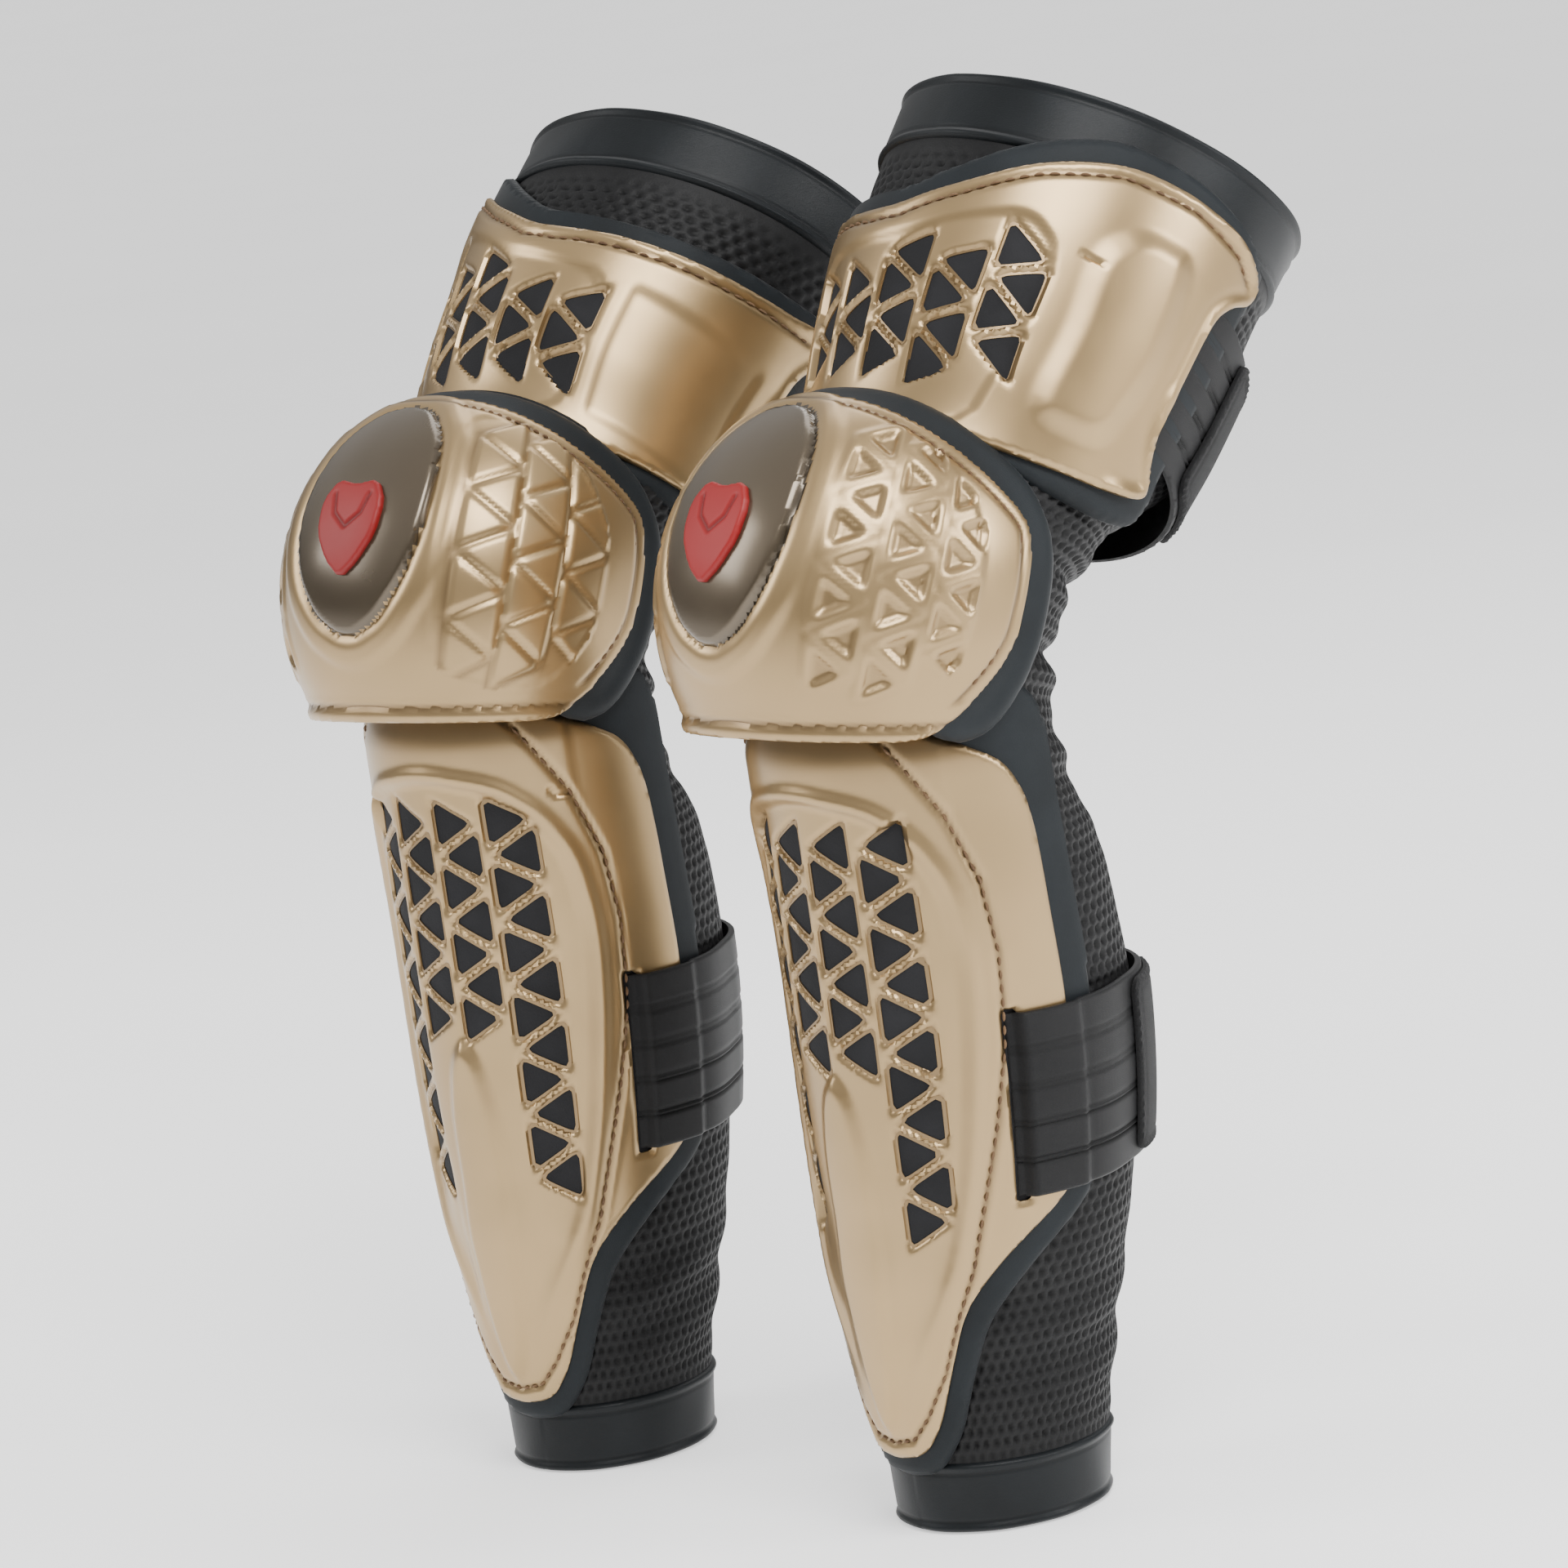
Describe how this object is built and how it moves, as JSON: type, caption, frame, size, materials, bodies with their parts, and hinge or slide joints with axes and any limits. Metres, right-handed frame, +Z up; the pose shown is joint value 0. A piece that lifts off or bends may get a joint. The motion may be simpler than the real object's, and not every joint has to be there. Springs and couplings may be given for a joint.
{
  "type": "knee guards",
  "caption": "Pair of off-road knee and shin guards: vented bronze plates on knitted sleeves, with pivoting knee cups and strap tabs.",
  "frame": {"origin": "middle of the pair's outline, seen from above, on the surface it stands on", "axes": "+Z up the shins, -Y the front of the guards, +X the wearer's left"},
  "size_m": [0.372, 0.2952, 0.5113],
  "materials": {
    "bronze_shell": "satin metallic bronze paint on moulded plastic",
    "red_badge": "gloss red moulded plastic",
    "neoprene": "laminated neoprene with a smooth knit face",
    "binding_tape": "woven elastic binding tape",
    "mesh_knit": "spacer mesh knit with round dimples",
    "elastic_band": "smooth elastic band with a soft sheen",
    "silicone_grip": "printed silicone",
    "impact_foam": "closed cell impact foam",
    "strap_webbing": "ribbed elastic webbing",
    "hook_tab": "hook tape backed with webbing",
    "loop_patch": "brushed loop tape"
  },
  "bodies": {
    "left_shin": {"left_shin_cuff_band": "elastic_band", "left_shin_cuff_grip": "silicone_grip", "left_shin_sleeve": "mesh_knit", "left_shin_pad": "neoprene", "left_shin_foam": "impact_foam", "left_shin_shell": "bronze_shell", "left_calf_strap": "strap_webbing", "left_calf_strap_loop_patch": "loop_patch", "left_knee_sleeve": "mesh_knit", "left_knee_pad": "neoprene", "left_knee_pad_binding": "binding_tape"},
    "left_thigh": {"left_thigh_sleeve": "mesh_knit", "left_thigh_cuff_band": "elastic_band", "left_thigh_cuff_grip": "silicone_grip", "left_thigh_pad": "neoprene", "left_thigh_foam": "impact_foam", "left_thigh_shell": "bronze_shell", "left_thigh_strap": "strap_webbing", "left_thigh_strap_loop_patch": "loop_patch"},
    "left_cup": {"left_knee_cup_shell": "bronze_shell", "left_knee_cup_badge": "red_badge", "left_knee_protector_foam": "impact_foam"},
    "left_calf_tab": {"left_calf_strap_tab": "hook_tab"},
    "left_thigh_tab": {"left_thigh_strap_tab": "hook_tab"},
    "right_shin": {"right_shin_cuff_band": "elastic_band", "right_shin_cuff_grip": "silicone_grip", "right_shin_sleeve": "mesh_knit", "right_shin_pad": "neoprene", "right_shin_foam": "impact_foam", "right_shin_shell": "bronze_shell", "right_calf_strap": "strap_webbing", "right_calf_strap_loop_patch": "loop_patch", "right_knee_sleeve": "mesh_knit", "right_knee_pad": "neoprene", "right_knee_pad_binding": "binding_tape"},
    "right_thigh": {"right_thigh_sleeve": "mesh_knit", "right_thigh_cuff_band": "elastic_band", "right_thigh_cuff_grip": "silicone_grip", "right_thigh_pad": "neoprene", "right_thigh_foam": "impact_foam", "right_thigh_shell": "bronze_shell", "right_thigh_strap": "strap_webbing", "right_thigh_strap_loop_patch": "loop_patch"},
    "right_cup": {"right_knee_cup_shell": "bronze_shell", "right_knee_cup_badge": "red_badge", "right_knee_protector_foam": "impact_foam"},
    "right_calf_tab": {"right_calf_strap_tab": "hook_tab"},
    "right_thigh_tab": {"right_thigh_strap_tab": "hook_tab"}
  },
  "joints": [
    {"name": "left_knee_flex", "type": "hinge", "parent": "left_shin", "child": "left_thigh", "pos_m": [0.10043, -0.06543, 0.334], "axis": [-0.9962, 0.0872, 0], "range_deg": [-13, 55], "deforming": ["left_knee_sleeve", "left_knee_pad", "left_knee_pad_binding"]},
    {"name": "left_cup_follow", "type": "hinge", "parent": "left_shin", "child": "left_cup", "pos_m": [0.10043, -0.06543, 0.334], "axis": [-0.9962, 0.0872, 0], "range_deg": [-3.9, 16.5]},
    {"name": "left_calf_tab_peel", "type": "hinge", "parent": "left_shin", "child": "left_calf_tab", "pos_m": [0.16606, -0.02299, 0.1575], "axis": [0, 0, -1], "range_deg": [0, 70]},
    {"name": "left_thigh_tab_peel", "type": "hinge", "parent": "left_thigh", "child": "left_thigh_tab", "pos_m": [0.1716, 0.04617, 0.3835], "axis": [-0.0616, -0.7044, -0.7071], "range_deg": [0, 70]},
    {"name": "guard_spacing", "type": "slide", "parent": "left_shin", "child": "right_shin", "axis": [-1, 0, 0], "range_m": [0, 0.25]},
    {"name": "right_knee_flex", "type": "hinge", "parent": "right_shin", "child": "right_thigh", "pos_m": [-0.10043, -0.06543, 0.334], "axis": [-0.9962, -0.0872, 0], "range_deg": [-18, 50], "deforming": ["right_knee_sleeve", "right_knee_pad", "right_knee_pad_binding"]},
    {"name": "right_cup_follow", "type": "hinge", "parent": "right_shin", "child": "right_cup", "pos_m": [-0.10043, -0.06543, 0.334], "axis": [-0.9962, -0.0872, 0], "range_deg": [-5.4, 15]},
    {"name": "right_calf_tab_peel", "type": "hinge", "parent": "right_shin", "child": "right_calf_tab", "pos_m": [-0.16606, -0.02299, 0.1575], "axis": [0, 0, 1], "range_deg": [0, 70]},
    {"name": "right_thigh_tab_peel", "type": "hinge", "parent": "right_thigh", "child": "right_thigh_tab", "pos_m": [-0.17194, 0.05002, 0.37308], "axis": [-0.0668, 0.7631, 0.6428], "range_deg": [0, 70]}
  ],
  "couplings": [
    {"joint": "left_cup_follow", "follows": "left_knee_flex", "ratio": 0.3},
    {"joint": "right_cup_follow", "follows": "right_knee_flex", "ratio": 0.3}
  ]
}
